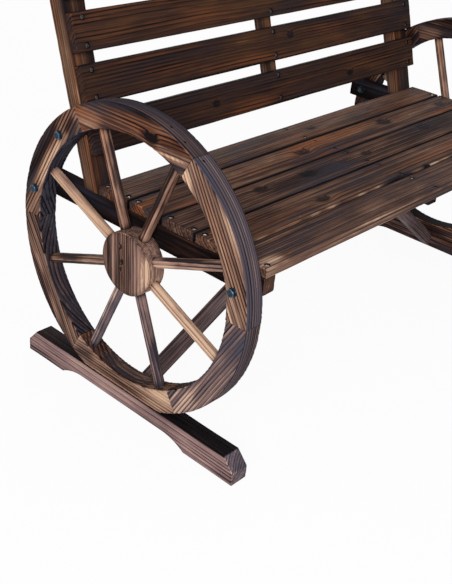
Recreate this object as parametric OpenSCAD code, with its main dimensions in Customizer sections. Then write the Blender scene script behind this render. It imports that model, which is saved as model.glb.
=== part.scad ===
// Garden bench carried by two fixed wagon wheels, one at each end.
// X runs along the bench, Y from front to back, Z up from the floor.
// The origin lies on the floor, under the middle of the bench's box.

/* [Bench] */
// Length over the outer faces of the two wheels
bench_l = 1070; // [900:1:1300]

/* [Wheels] */
// Diameter of a wheel over its rim
wheel_d = 542; // [500:1:600]
// Thickness of the rim and the skid along the bench
rim_t = 38; // [32:1:46]
// Width of the rim band, measured radially
rim_band = 44; // [38:1:52]
// Depth of the flat on the bottom of the rim
wheel_flat = 18; // [10:1:22]
// Diameter of the hub
hub_d = 114; // [100:1:130]
// Thickness of the hub along the bench
hub_t = 38; // [30:1:46]
// Diameter of a spoke
spoke_d = 19; // [14:1:22]
// Angle of the first spoke above the level, towards the back
spoke_turn = 24; // [20:0.5:25]
// Depth of a spoke socket in the hub and in the rim
socket_l = 12; // [8:1:16]
// Diameter of the dowels across the rim joints
dowel_d = 10; // [8:1:12]
// Length of the dowels across the rim joints
dowel_l = 40; // [30:1:44]
// Distance of the bolts from the rim's inner edge
bolt_ring = 17; // [15:1:22]

/* [Skids] */
// Length of a skid from front to back
skid_l = 544; // [500:1:600]
// How far a skid sits forward of the wheel's centre
skid_fwd = 6; // [0:1:12]
// Height of a skid
skid_h = 50; // [42:1:60]
// Length of the sloped cut on a skid's top ends
skid_cut_l = 23; // [12:1:32]
// Height of the sloped cut on a skid's top ends
skid_cut_h = 26; // [12:1:34]
// Height of the arch under a skid
arch_h = 16.5; // [10:0.5:20]
// Length of the arch under a skid at the floor
arch_l = 326; // [280:1:360]
// Length of the rounded run at each end of the arch
arch_run = 56; // [40:1:70]

/* [Seat] */
// Height of the seat's top above the wheel's centre
seat_rise = 92; // [84:1:100]
// Width of a seat slat
slat_w = 73; // [66:1:78]
// Gap between seat slats
slat_gap = 4; // [2:0.5:8]
// Thickness of the seat and back slats
slat_t = 17; // [14:1:22]
// Gap between the slat ends and the rim
slat_end_gap = 1.5; // [1:0.5:5]
// How far the front slat stands out over the rail ends
slat_over = 1; // [0:1:6]

/* [Seat frame] */
// Thickness of a side rail
rail_t = 27; // [22:1:34]
// Height of a side rail
rail_h = 41; // [36:1:46]
// Wood in front of the front rail bolt
rail_front = 28; // [24:1:34]
// Wood behind the rear rail bolt
rail_rear = 34; // [26:1:40]
// Size of the cut under a rail's front end
rail_cut = 13; // [6:1:18]
// Width of the middle bearer
bearer_w = 28; // [24:1:40]
// Height of the middle bearer
bearer_h = 18; // [12:1:22]
// How far the bearer's ends stay inside the seat's edges
bearer_in = 11; // [6:1:20]
// Width of a brace from front to back
brace_w = 20; // [18:1:26]
// Depth of a brace, square to its length
brace_d = 29; // [26:1:34]
// How far forward of the wheel's centre a brace starts
brace_foot_fwd = 9; // [0:1:20]
// How far forward of the wheel's centre a brace ends
brace_head_fwd = 66; // [40:1:90]
// How far below the slats the lower edge of a brace meets the bearer
brace_drop = 24; // [20:1:30]

/* [Back] */
// Lean of the back from the upright
lean = 17.5; // [12:0.5:20]
// Width of a post along the bench
post_w = 50; // [44:1:60]
// Depth of a post, square to its front face
post_d = 31; // [27:1:38]
// Length of a post's front face
post_l = 502; // [495:1:540]
// Gap between the rear seat slat and the posts
post_gap = 3; // [1:0.5:6]
// Width of a back slat
back_w = 66; // [60:1:68]
// Gap between back slats
back_gap = 19; // [14:1:20]
// Distance up the post from its foot to the lowest back slat
back_start = 66; // [50:1:70]
// Width of the middle stile
stile_w = 32; // [26:1:44]
// Thickness of the middle stile
stile_d = 18; // [15:1:26]
// How far the stile's ends stay inside the outer back slats
stile_in = 8; // [2:1:16]

/* [Fasteners] */
// Diameter of the bolts
bolt_d = 8; // [6:1:10]
// Width of the bolt heads and nuts across their flats
hex_af = 13; // [11:1:16]
// Height of the bolt heads
bolt_head_h = 5.5; // [4:0.5:7]
// Height of the nuts
nut_h = 6.5; // [5:0.5:8]
// Bolt length that stands out of a nut
bolt_out = 3; // [1:0.5:6]
// Diameter of the washers
washer_d = 16; // [16:1:24]
// Thickness of the washers
washer_t = 1.6; // [1:0.2:2.4]
// How far the post bolt sits behind the middle of the post
post_bolt_back = 5; // [0:0.5:6]
// Diameter of the slat and brace screws
screw_d = 4; // [3:0.5:5]
// Length of the slat screws under the head
screw_l = 23; // [21:0.5:24]
// Diameter of a slat screw's head
screw_head_d = 8; // [7:0.5:9]
// Height of a slat screw's head
screw_head_h = 2; // [1.5:0.5:3]
// How far the slat screws lie from a slat's edges
screw_in = 10; // [8:1:14]
// Length of the brace screws under the head
brace_screw_l = 25; // [22:1:26]
// Wood between a brace screw's head and the end of the brace
brace_screw_in = 14; // [12:1:15]
// Diameter of the skid screws
lag_d = 6; // [5:1:8]
// Length of the skid screws under the head
lag_l = 45; // [42:1:50]
// Diameter of a skid screw's head
lag_head_d = 12; // [11:1:14]
// Height of a skid screw's head
lag_head_h = 4; // [3:0.5:5]
// Distance between the two screws of a skid
lag_pitch = 100; // [70:1:110]

/* [Hidden] */
$fn = 64;
// Radial room of bolts and screws in their holes
hole_room = 0.3;
// Radial room of spokes and dowels in their sockets, and of a bolt in its washer and nut
fit_room = 0.15;
// Radial room of a sunk screw head in its hole
head_room = 0.8;
// Depth of a screw head below the wood, and spare depth past a screw's or dowel's end
sunk = 1.4;
end_room = 1;
// Overshoot of a cutting shape past the face that it cuts
past = 1;

felloes = 6;
spokes = 8;
slats = 5;
back_slats = 5;

wheel_r = wheel_d / 2;
rim_in_r = wheel_r - rim_band;
rim_mid_r = wheel_r - rim_band / 2;
bolt_ring_r = rim_in_r + bolt_ring;
hub_r = hub_d / 2;
felloe_arc = 360 / felloes;
spoke_arc = 360 / spokes;
side_x = -bench_l / 2;

wheel_z = skid_h + wheel_r - wheel_flat;
seat_h = wheel_z + seat_rise;
slat_z = seat_h - slat_t;
rail_z = slat_z - rail_h / 2;

// Distances along Y are from the wheel's centre, and wheel_y places that centre in the bench's box
rail_bolt_y = sqrt(pow(bolt_ring_r, 2) - pow(rail_z - wheel_z, 2));
rail_y0 = -rail_bolt_y - rail_front;
rail_y1 = rail_bolt_y + rail_rear;
seat_y0 = rail_y0 - slat_over;
seat_d = slats * slat_w + (slats - 1) * slat_gap;
seat_y1 = seat_y0 + seat_d;
post_y = seat_y1 + post_gap;
skid_y0 = -skid_l / 2 - skid_fwd;
skid_y1 = skid_l / 2 - skid_fwd;
post_head_y = post_y + post_l * sin(lean);
post_head_z = slat_z + post_l * cos(lean);
post_back_y = post_head_y + post_d * cos(lean);
wheel_y = -(skid_y0 + max(post_back_y, skid_y1, rail_y1)) / 2;

// The post bolt lies where a line along the post meets the ring of bolts
bolt_line = post_d / 2 + post_bolt_back;
bolt_line_y = post_y + bolt_line / cos(lean);
bolt_line_z = slat_z - wheel_z;
bolt_half = bolt_line_y * sin(lean) + bolt_line_z * cos(lean);
bolt_gap2 = pow(bolt_ring_r, 2) - pow(bolt_line_y, 2) - pow(bolt_line_z, 2);
bolt_way = sqrt(pow(bolt_half, 2) + bolt_gap2) - bolt_half;
post_bolt_y = bolt_line_y + bolt_way * sin(lean);
post_bolt_z = slat_z + bolt_way * cos(lean);

slat_x0 = side_x + rim_t + slat_end_gap;
rail_x0 = side_x + rim_t;
bearer_y0 = seat_y0 + bearer_in;
bearer_y1 = seat_y1 - bearer_in;
back_pitch = back_w + back_gap;
stile_z0 = back_start + stile_in;
stile_z1 = back_start + back_slats * back_pitch - back_gap - stile_in;

arch_r = (pow(arch_run, 2) + pow(arch_h, 2)) / (2 * arch_h);
arch_flat = arch_l - 2 * arch_run;
lag_seat_z = arch_h + lag_head_h + end_room;

// A brace runs from the skid's inner face to the bearer's side
brace_x0 = rail_x0;
brace_x1 = -bearer_w / 2;
brace_z0 = arch_h + end_room;
brace_z1 = slat_z - brace_drop;
brace_run = brace_x1 - brace_x0;
brace_yaw = atan2(brace_foot_fwd - brace_head_fwd, brace_run);
brace_flat_l = sqrt(pow(brace_run, 2) + pow(brace_head_fwd - brace_foot_fwd, 2));
brace_pitch = atan2(brace_z1 - brace_z0, brace_flat_l);
brace_l = sqrt(pow(brace_flat_l, 2) + pow(brace_z1 - brace_z0, 2));
brace_foot_screw_z = (brace_z0 + skid_h) / 2;
brace_head_screw_z = slat_z - bearer_h / 2;

rim_color = [0.45, 0.33, 0.26];
spoke_color = [0.50, 0.37, 0.29];
hub_color = [0.42, 0.31, 0.25];
skid_color = [0.46, 0.37, 0.33];
seat_color = [0.33, 0.26, 0.22];
frame_color = [0.22, 0.18, 0.16];
back_color = [0.25, 0.17, 0.12];
dowel_color = [0.62, 0.48, 0.34];
bolt_color = [0.16, 0.20, 0.25];
screw_color = [0.45, 0.44, 0.43];

// Everything on the left side is drawn once, and the right side is its mirror image
module right() {
    mirror([1, 0, 0]) children();
}

module both() {
    children();
    right() children();
}

// Flat drawing plane of the left wheel: its x is the bench's Y, its y is Z, and it is extruded along X
module wheel_plane(x = side_x) {
    translate([x, wheel_y, wheel_z]) rotate([90, 0, 90]) children();
}

// The same plane with its zero on the floor, for profiles that stand on it
module side_plane(x = side_x) {
    translate([x, wheel_y, 0]) rotate([90, 0, 90]) children();
}

// Frame of the back: x along the bench, y square to the posts' front face, z up along it
module back_frame() {
    translate([0, wheel_y + post_y, slat_z]) rotate([-lean, 0, 0]) children();
}

// Holes and fasteners along X, at a place given in the side plane
module along_x(x, y, z) {
    translate([x, wheel_y + y, z]) rotate([0, 90, 0]) children();
}

// Screws point down in their own frame, with the seat of the head at zero
module screw(d, l, head_d, head_h) {
    tip = d;
    translate([0, 0, -l + tip]) cylinder(d = d, h = l - tip);
    translate([0, 0, -l]) cylinder(d1 = d / 4, d2 = d, h = tip);
    cylinder(d = head_d, h = head_h);
}

module screw_hole(d, l, head_d, out) {
    translate([0, 0, -l - end_room]) cylinder(d = d + 2 * hole_room, h = l + end_room + out);
    cylinder(d = head_d + 2 * head_room, h = out);
}

// Places of the screws in the seat, with the seat of each head at zero
module at_seat_screws() {
    for (i = [0 : slats - 1], s = [screw_in, slat_w - screw_in], x = [-1, 0, 1])
        translate([
            x * (bench_l / 2 - rim_t - rail_t / 2),
            wheel_y + seat_y0 + i * (slat_w + slat_gap) + s,
            seat_h - screw_head_h - sunk
        ]) children();
}

// Places of the screws in the back, with the seat of each head at zero
module at_back_screws() {
    back_frame()
        for (i = [0 : back_slats - 1], s = [screw_in, back_w - screw_in], x = [-1, 0, 1])
            translate([
                x * (bench_l / 2 - rim_t - post_w / 2),
                screw_head_h + sunk - slat_t,
                back_start + i * back_pitch + s
            ]) rotate([90, 0, 0]) children();
}

// Places of the skid screws of the left side
module at_skid_screws() {
    for (y = [-0.5, 0.5])
        translate([side_x + rim_t / 2, wheel_y + y * lag_pitch, lag_seat_z]) mirror([0, 0, 1]) children();
}

// Places of the brace screws of the left side, one in the skid and one in the bearer
module at_brace_screws() {
    skew = brace_screw_in / 2 * tan(brace_yaw);
    along_x(brace_x0 + brace_screw_in, -brace_foot_fwd + skew, brace_foot_screw_z) children();
    along_x(brace_x1 - brace_screw_in, -brace_head_fwd - skew, brace_head_screw_z)
        mirror([0, 0, 1]) children();
}

module slat_screw() {
    screw(screw_d, screw_l, screw_head_d, screw_head_h);
}

module slat_screw_hole() {
    screw_hole(screw_d, screw_l, screw_head_d, screw_head_h + sunk + past);
}

module brace_screw() {
    screw(screw_d, brace_screw_l, screw_head_d, screw_head_h);
}

module brace_screw_hole() {
    screw_hole(screw_d, brace_screw_l, screw_head_d, brace_d * 2);
}

module skid_screw() {
    screw(lag_d, lag_l, lag_head_d, lag_head_h);
}

module skid_screw_hole() {
    screw_hole(lag_d, lag_l, lag_head_d, lag_head_h + end_room + past);
}

// Places of the bolts of the left side, at the rim's outer face, for the wood length each one holds
module at_rail_bolts() {
    for (y = [-rail_bolt_y, rail_bolt_y]) along_x(side_x, y, rail_z) children();
}

module at_post_bolt() {
    along_x(side_x, post_bolt_y, post_bolt_z) children();
}

module bolt_hole(wood) {
    translate([0, 0, -past]) cylinder(d = bolt_d + 2 * hole_room, h = wood + 2 * past);
}

module bolt(wood) {
    shank = wood + 2 * washer_t + nut_h + bolt_out;
    translate([0, 0, -washer_t]) cylinder(d = bolt_d, h = shank);
    translate([0, 0, -washer_t - bolt_head_h]) cylinder(d = hex_af / cos(30), h = bolt_head_h, $fn = 6);
}

module ring(outer_d, h) {
    difference() {
        cylinder(d = outer_d, h = h);
        translate([0, 0, -past]) cylinder(d = bolt_d + 2 * fit_room, h = h + 2 * past);
    }
}

module washer_pair(wood) {
    translate([0, 0, -washer_t]) ring(washer_d, washer_t);
    translate([0, 0, wood]) ring(washer_d, washer_t);
}

module nut(wood) {
    translate([0, 0, wood + washer_t]) difference() {
        cylinder(d = hex_af / cos(30), h = nut_h, $fn = 6);
        translate([0, 0, -past]) cylinder(d = bolt_d + 2 * fit_room, h = nut_h + 2 * past);
    }
}

// Outline of one felloe, between two mitred ends
module felloe_outline(k) {
    reach = wheel_d;
    intersection() {
        difference() {
            circle(wheel_r);
            circle(rim_in_r);
        }
        polygon([
            [0, 0],
            reach * [cos(k * felloe_arc), sin(k * felloe_arc)],
            reach * [cos((k + 1) * felloe_arc), sin((k + 1) * felloe_arc)]
        ]);
        translate([-wheel_d, wheel_flat - wheel_r]) square(2 * wheel_d);
    }
}

// Dowel or its hole across joint j of the rim
module joint_pin(j, d, l) {
    wheel_plane(side_x + rim_t / 2) rotate([0, 0, j * felloe_arc])
        translate([rim_mid_r, -l / 2, 0]) rotate([-90, 0, 0]) cylinder(d = d, h = l);
}

// Spoke or its hole at place n, between two radii
module radial_rod(n, d, r0, r1) {
    wheel_plane(side_x + rim_t / 2) rotate([0, 0, spoke_turn + n * spoke_arc])
        translate([r0, 0, 0]) rotate([0, 90, 0]) cylinder(d = d, h = r1 - r0);
}

module felloe(k) {
    color(rim_color) difference() {
        wheel_plane() linear_extrude(rim_t) felloe_outline(k);
        for (n = [0 : spokes - 1])
            radial_rod(n, spoke_d + 2 * fit_room, rim_in_r - spoke_d, rim_in_r + socket_l);
        for (j = [k, k + 1]) joint_pin(j, dowel_d + 2 * fit_room, dowel_l + end_room);
        at_rail_bolts() bolt_hole(rim_t);
        at_post_bolt() bolt_hole(rim_t);
        at_skid_screws() skid_screw_hole();
    }
}

module spoke(n) {
    color(spoke_color) radial_rod(n, spoke_d, hub_r - socket_l, rim_in_r + socket_l);
}

module hub() {
    color(hub_color) difference() {
        wheel_plane(side_x + (rim_t - hub_t) / 2) cylinder(r = hub_r, h = hub_t);
        for (n = [0 : spokes - 1])
            radial_rod(n, spoke_d + 2 * fit_room, hub_r - socket_l, hub_r + spoke_d);
    }
}

// The arch is a flat run with a round run at each end
module skid_outline() {
    difference() {
        polygon([
            [skid_y0, 0],
            [skid_y1, 0],
            [skid_y1, skid_h - skid_cut_h],
            [skid_y1 - skid_cut_l, skid_h],
            [skid_y0 + skid_cut_l, skid_h],
            [skid_y0, skid_h - skid_cut_h]
        ]);
        translate([-arch_flat / 2, -past]) square([arch_flat, arch_h + past]);
        for (s = [-1, 1]) translate([s * arch_flat / 2, arch_h - arch_r]) circle(arch_r);
    }
}

module skid() {
    color(skid_color) difference() {
        side_plane() linear_extrude(rim_t) skid_outline();
        at_skid_screws() skid_screw_hole();
        at_brace_screws() brace_screw_hole();
    }
}

module rail() {
    color(frame_color) difference() {
        side_plane(rail_x0) linear_extrude(rail_t) polygon([
            [rail_y0, slat_z],
            [rail_y1, slat_z],
            [rail_y1, slat_z - rail_h],
            [rail_y0 + rail_cut, slat_z - rail_h],
            [rail_y0, slat_z - rail_h + rail_cut]
        ]);
        at_rail_bolts() bolt_hole(rim_t + rail_t);
        at_seat_screws() slat_screw_hole();
    }
}

module middle_bearer() {
    color(frame_color) difference() {
        translate([-bearer_w / 2, wheel_y + bearer_y0, slat_z - bearer_h])
            cube([bearer_w, bearer_y1 - bearer_y0, bearer_h]);
        at_seat_screws() slat_screw_hole();
        both() at_brace_screws() brace_screw_hole();
    }
}

// The bar is longer than the brace, and a box trims it at the skid, the bearer and the slats
module brace() {
    color(frame_color) difference() {
        intersection() {
            translate([brace_x0, wheel_y - brace_foot_fwd, brace_z0]) rotate([0, -brace_pitch, brace_yaw])
                translate([-brace_d, -brace_w / 2, 0]) cube([brace_l + 3 * brace_d, brace_w, brace_d]);
            translate([brace_x0, wheel_y - wheel_r, 0]) cube([brace_run, wheel_d, slat_z]);
        }
        at_brace_screws() brace_screw_hole();
    }
}

module seat_slat(i) {
    color(seat_color) difference() {
        translate([slat_x0, wheel_y + seat_y0 + i * (slat_w + slat_gap), slat_z])
            cube([-2 * slat_x0, slat_w, slat_t]);
        at_seat_screws() slat_screw_hole();
    }
}

module post() {
    color(back_color) difference() {
        side_plane(rail_x0) linear_extrude(post_w) polygon([
            [post_y, slat_z],
            [post_y + post_d / cos(lean), slat_z],
            [post_back_y, post_head_z - post_d * sin(lean)],
            [post_head_y, post_head_z]
        ]);
        at_post_bolt() bolt_hole(rim_t + post_w);
        at_back_screws() slat_screw_hole();
    }
}

module middle_stile() {
    color(back_color) difference() {
        back_frame() translate([-stile_w / 2, 0, stile_z0]) cube([stile_w, stile_d, stile_z1 - stile_z0]);
        at_back_screws() slat_screw_hole();
    }
}

module back_slat(i) {
    color(back_color) difference() {
        back_frame() translate([slat_x0, -slat_t, back_start + i * back_pitch])
            cube([-2 * slat_x0, slat_t, back_w]);
        at_back_screws() slat_screw_hole();
    }
}

module rail_bolts() {
    color(bolt_color) both() at_rail_bolts() bolt(rim_t + rail_t);
}

module post_bolts() {
    color(bolt_color) both() at_post_bolt() bolt(rim_t + post_w);
}

module bolt_washers() {
    color(bolt_color) both() {
        at_rail_bolts() washer_pair(rim_t + rail_t);
        at_post_bolt() washer_pair(rim_t + post_w);
    }
}

module bolt_nuts() {
    color(bolt_color) both() {
        at_rail_bolts() nut(rim_t + rail_t);
        at_post_bolt() nut(rim_t + post_w);
    }
}

module seat_screws() {
    color(screw_color) at_seat_screws() slat_screw();
}

module back_screws() {
    color(screw_color) at_back_screws() slat_screw();
}

module brace_screws() {
    color(screw_color) both() at_brace_screws() brace_screw();
}

module skid_screws() {
    color(screw_color) both() at_skid_screws() skid_screw();
}

module felloe_dowels() {
    color(dowel_color) both() for (j = [0 : felloes - 1]) joint_pin(j, dowel_d, dowel_l);
}

for (k = [0 : felloes - 1]) {
    felloe(k);
    right() felloe(k);
}
for (n = [0 : spokes - 1]) {
    spoke(n);
    right() spoke(n);
}
for (i = [0 : slats - 1]) {
    seat_slat(i);
}
for (i = [0 : back_slats - 1]) {
    back_slat(i);
}
hub();  // left_hub
right() hub();  // right_hub
skid();  // left_skid
right() skid();  // right_skid
rail();  // left_rail
right() rail();  // right_rail
middle_bearer();
brace();  // left_brace
right() brace();  // right_brace
post();  // left_post
right() post();  // right_post
middle_stile();
rail_bolts();
post_bolts();
bolt_washers();
bolt_nuts();
seat_screws();
back_screws();
brace_screws();
skid_screws();
felloe_dowels();
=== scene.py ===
"""Looks of a garden bench carried by two wagon wheels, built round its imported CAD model.

Everything is in metres: X along the bench, Y from front to back, Z up from the floor. Sizes that are
handed over in millimetres say so.
"""

import math

import bpy
import numpy as np
from bpy.props import FloatProperty, FloatVectorProperty, PointerProperty
from mathutils import Matrix, Vector


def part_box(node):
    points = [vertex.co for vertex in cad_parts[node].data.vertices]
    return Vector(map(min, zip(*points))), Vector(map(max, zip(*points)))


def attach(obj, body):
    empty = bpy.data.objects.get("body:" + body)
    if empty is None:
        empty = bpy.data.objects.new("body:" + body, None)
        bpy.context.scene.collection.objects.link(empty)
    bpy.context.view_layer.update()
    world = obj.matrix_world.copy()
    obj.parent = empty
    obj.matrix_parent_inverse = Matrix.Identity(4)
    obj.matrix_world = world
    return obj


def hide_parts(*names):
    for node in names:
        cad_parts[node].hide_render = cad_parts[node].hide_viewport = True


bl_info = {
    "name": "Wagon wheel bench",
    "version": (1, 0, 0),
    "blender": (4, 5, 0),
    "location": "3D View > Sidebar > Bench",
    "description": "Makes the scorched wood, steel and studio of a wagon wheel bench",
    "category": "Object",
}

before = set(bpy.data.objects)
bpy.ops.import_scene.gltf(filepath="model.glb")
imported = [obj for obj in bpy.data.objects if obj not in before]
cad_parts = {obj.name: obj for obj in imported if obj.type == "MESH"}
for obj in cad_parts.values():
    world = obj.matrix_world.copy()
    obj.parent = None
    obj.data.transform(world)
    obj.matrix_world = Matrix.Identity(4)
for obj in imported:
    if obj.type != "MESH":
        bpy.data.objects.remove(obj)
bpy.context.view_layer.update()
SIDES = {"left": -1.0, "right": 1.0}
MM = 0.001
TINY = 0.001 * MM

# Sizes that the frame's boxes don't give on their own
LEAN = math.radians(17.5)
RIM_BAND = 44 * MM
FELLOES = 6
FELLOE_ARC = 2 * math.pi / FELLOES
SPOKES = 8
SPOKE_TURN = math.radians(24)
SOCKET = 12 * MM
SLATS = 5
BACK_WIDE, BACK_PITCH, BACK_START = 66 * MM, 85 * MM, 66 * MM
SCREW_IN, SCREW_OUT = 10 * MM, 1.5 * MM
SCREW_SUNK = 1.4 * MM
SCREW_HEAD_H = 2 * MM
BOLT_R, NUT_ACROSS = 4 * MM, 13 * MM
HEAD_H, WASHER_T, NUT_H, BOLT_OUT = 5.5 * MM, 1.6 * MM, 6.5 * MM, 3 * MM

# How far dents, chips, bites and worn lips reach from an edge, and marks into a board
DENT_REACH, CHIP_REACH, BITE_REACH, LIP, MARK_DEEP = 6 * MM, 5 * MM, 14 * MM, 2.5 * MM, 3 * MM

# Lattice lines round a screw hole, a nail hole and a bitten edge
HOLE_RIM, HOLE_REACH = 4.8 * MM, 7.5 * MM
HOLE_LINES = np.array([-7.5, -6, -4.8, -4.5, -3, -1.5, 0, 1.5, 3, 4.5, 4.8, 6, 7.5]) * MM
PIN_R, PIN_DEEP = 1.6 * MM, 2 * MM
PIN_LINES = np.array([-1.4, -0.7, 0, 0.7, 1.4]) * PIN_R
BITE_LINES = np.array([-1.6, -1.3, -1.1, -0.9, -0.7, -0.4, 0, 0.4, 0.7, 0.9, 1.1, 1.3, 1.6])

# A tone is scorch, warmth (below zero: cold, partly a painted blue grey sheen) and strength of the grain
# lines.
# A knot is its place along and across and its size. A mark is its place along and across, its half length
# and half width, and its scorch (below zero: wear). Places and sizes are in millimetres from the middle of
# the piece.
SPOKE_BURN = (-0.16, 0.18, 0.2, -0.18, -0.36, 0.06, -0.04, 0.28)
SPOKE_WARM = (0.2, 0.6, 0.2, -0.3, 0.0, -0.6, -0.8, 0.3)
# Each felloe's tone, then scorch and warmth of its tread and of its inner face. A cold tread or inner face
# turns blue grey, partly as a painted sheen.
FELLOE_TONES = (
    (0.06, 0.3, 1.0, 0.34, -0.2, 0.43, -0.72),
    (0.15, 1.0, 0.62, 0.06, -0.6, 0.45, -0.4),
    (-0.06, 0.4, 1.3, 0.1, -0.8, 0.45, -0.4),
    (-0.08, -0.65, 1.1, 0.15, -0.6, 0.45, 0.2),
    (-0.13, 0.1, 0.8, 0.22, -0.3, 0.3, 0.9),
    (0.1, -0.15, 1.0, 0.2, -0.3, 0.22, -0.6),
)
FELLOE_MARKS = (
    [(0, -4, 55, 4, -0.65), (-20, 7, 50, 5, -0.3), (-10, 23, 80, 11, 0.4), (100, -10, 18, 12, 0.3)],
    [(-100, -12, 35, 20, -0.3), (0, 34, 80, 10, 0.3), (42, 6, 19, 10, 0.32), (85, -13, 35, 2, -0.5),
     (90, 8, 30, 10, 0.22)],
    [(-120, -26, 20, 10, -0.5), (-60, -20, 60, 5, -0.3)],
    [(100, 4, 40, 12, -0.25), (-100, 0, 40, 20, 0.15)],
    [(-100, -12, 30, 10, -0.1), (10, 16, 70, 8, 0.35), (0, -16, 90, 4, -0.3), (100, 0, 25, 20, 0.25)],
    [(35, 12, 20, 4, -0.2), (-56, 14, 30, 4, -0.25)],
)
FELLOE_KNOTS = {2: [(47, 4, 5)]}
# Depth of the chips along each felloe's edges, and the nail holes in the tread, along and aside
CHIPS = (1.5, 1.2, 1.6, 3.2, 3.0, 1.8)
PINS = {2: [(68.7, -3.4), (101.6, -7.6)], 3: [(-121.4, -2.7)]}
HUB_KNOTS = [(3, 6, 1.9), (-12, 11, 1.3), (30, 9, 1.4)]
HUB_MARKS = [(0, -54, 30, 4, -0.6), (-10, -42, 35, 2, -0.3), (0, 36, 80, 12, 0.2), (0, 8, 50, 6, 0.2)]
# Seat slats from the front: tone, the tree's pith aside and below, knots, marks
SEAT_LOOKS = (
    ((-0.04, -0.35, 0.7), (80, -40), [(300, -10, 5)],
     [(-165, 0, 45, 16, -0.22), (200, -20, 150, 12, -0.15), (-470, -20, 30, 14, -0.45)]),
    ((-0.05, 0.5, 1.0), (50, -60), [(-218, -7, 6), (350, 10, 6)],
     # The second slat's last two marks paint shade into its bitten notches
     [(-20, 0, 200, 10, 0.2), (-300, 10, 100, 20, 0.1), (-18, -36, 38, 7, 1.2), (77, -36, 10, 6, 1.2)]),
    ((0.05, -0.25, 0.8), (90, -50), [(-277, 10, 6), (-150, 3, 8), (31, 0, 5), (264, 16, 8)],
     [(-150, 0, 120, 15, 0.2), (250, 10, 120, 20, 0.2)]),
    ((-0.05, 1.1, 1.0), (40, -60), [(-72, 2, 8), (217, 7, 8), (436, 0, 7)], [(-100, 15, 300, 12, -0.1)]),
    ((0.06, 0.5, 0.6), (70, -40), [(-300, 8, 6), (50, 0, 5)], [(-350, 0, 100, 30, 0.15)]),
)
# The second seat slat's bitten edge: along, half length, depth
BITES = [(-18, 36, 4.5), (77, 8, 4)]
# Back slats from the lowest: tone, knots
BACK_LOOKS = (
    ((0.02, 0.6, 1.0), [(-190, 0, 4), (240, -10, 4)]),
    ((0.0, 0.6, 1.0), [(50, 10, 4)]),
    ((-0.02, 0.5, 1.0), [(200, 10, 5)]),
    ((0.03, 0.7, 1.0), [(-200, 0, 5)]),
    ((0.0, 0.4, 1.0), [(-300, -10, 4)]),
)


def middle(node):
    """Middle of a CAD node's box."""
    low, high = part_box(node)
    return (low + high) / 2


def extent(node):
    """Sides of a CAD node's box."""
    low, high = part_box(node)
    return high - low


WHEEL = middle("left_hub")
WHEEL_X = abs(WHEEL.x)
WHEEL_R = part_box("left_felloe_2")[1].z - WHEEL.z
HUB_R = extent("left_hub").y / 2
RIM_T = extent("left_felloe_1").x
RIM_IN_R = WHEEL_R - RIM_BAND
RIM_MID_R = WHEEL_R - RIM_BAND / 2
FLAT_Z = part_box("left_felloe_5")[0].z
SEAT_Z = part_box("seat_slat_1")[1].z
SLAT_T = extent("seat_slat_1").z
SLAT_Z = SEAT_Z - SLAT_T
BACK_LONG = extent("back_slat_1").x
POST_FOOT = Vector((0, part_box("left_post")[0].y, SLAT_Z))
ALONG, BACKWARD, UP = (1, 0, 0), (0, 1, 0), (0, 0, 1)
UP_BACK = (0, math.sin(LEAN), math.cos(LEAN))


def length(name, description, default, low, high):
    """A length property, from millimetres."""
    return FloatProperty(
        name=name, description=description, default=default * MM, min=low * MM, max=high * MM,
        subtype="DISTANCE", unit="LENGTH", precision=4,
    )


def colour(name, description, *screen):
    """A linear colour property, from an 8-bit screen colour."""
    shares = [value / 255 for value in screen]
    linear = [c / 12.92 if c <= 0.04045 else ((c + 0.055) / 1.055) ** 2.4 for c in shares]
    return FloatVectorProperty(
        name=name, description=description, default=linear, size=3, min=0, max=1, subtype="COLOR",
    )


class BenchSizes(bpy.types.PropertyGroup):
    """Sizes of the worn and brushed surfaces."""

    edge_round: length("Edge rounding", "Radius of the worn edges of the boards", 2, 0.5, 4)
    joint_round: length("Joint rounding", "Radius of the edges at the rim joints", 0.8, 0.3, 2)
    hollow: length("Hollows", "Depth of the hollows that burning and brushing leave", 0.7, 0, 1.5)
    ring_pitch: length("Ring pitch", "Distance between the growth rings", 5.5, 2, 12)
    groove: length("Grooves", "Depth of the brushed grain", 0.9, 0, 2)
    worn_width: length("Worn edges", "Width of the pale wear along the edges", 3.5, 0, 10)


class BenchColours(bpy.types.PropertyGroup):
    """Colours of the wood and the steel."""

    rim: colour("Rims", "Brushed wood of the rims", 140, 108, 92)
    spoke: colour("Spokes", "Brushed wood of the spokes", 160, 126, 110)
    hub: colour("Hubs", "Brushed wood of the hubs", 140, 108, 96)
    skid: colour("Skids", "Brushed wood of the skids", 154, 124, 118)
    seat: colour("Seat", "Brushed wood of the seat slats", 117, 87, 71)
    back: colour("Back", "Brushed wood of the back slats", 90, 60, 38)
    post: colour("Posts", "Brushed wood of the posts and stile", 116, 86, 66)
    rail: colour("Rails", "Brushed wood of the rails and bearer", 84, 62, 54)
    brace: colour("Braces", "Brushed wood of the braces", 132, 112, 112)
    dowel: colour("Dowels", "Plain wood of the hidden dowels", 186, 150, 110)
    ring: colour("Grain lines", "Dark late wood of the grain", 54, 37, 32)
    straw: colour("Worn wood", "Pale wood where the scorched skin is worn off", 214, 180, 150)
    # Dark end of the wood's scale: char, also reached by the painted shade in holes, notches and joints
    char: colour("Char", "Scorched skin", 20, 15, 16)
    warm: colour("Warm scorch", "Orange brown of lightly scorched wood", 138, 80, 46)
    # Blue grey of deep scorch, also used as a painted sheen on dark and cold faces
    cool_char_and_painted_sheen: colour("Cool scorch", "Blue grey of deeply scorched wood", 68, 69, 82)
    bolt: colour("Bolts", "Blued steel of bolts, nuts and washers", 38, 53, 67)
    # Zinc darkened to paint the shade of the holes that the screws sit in
    screw: colour("Screws", "Zinc of the screws", 88, 84, 80)
    floor: colour("Floor", "Studio floor", 240, 240, 240)


# ---- shader maths ----


def arithmetic(operation, reflected=False):
    """A method of Value that adds a Math node."""

    def method(self, other):
        values = (other, self) if reflected else (self, other)
        return self.finish.maths(operation, *values)

    return method


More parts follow.
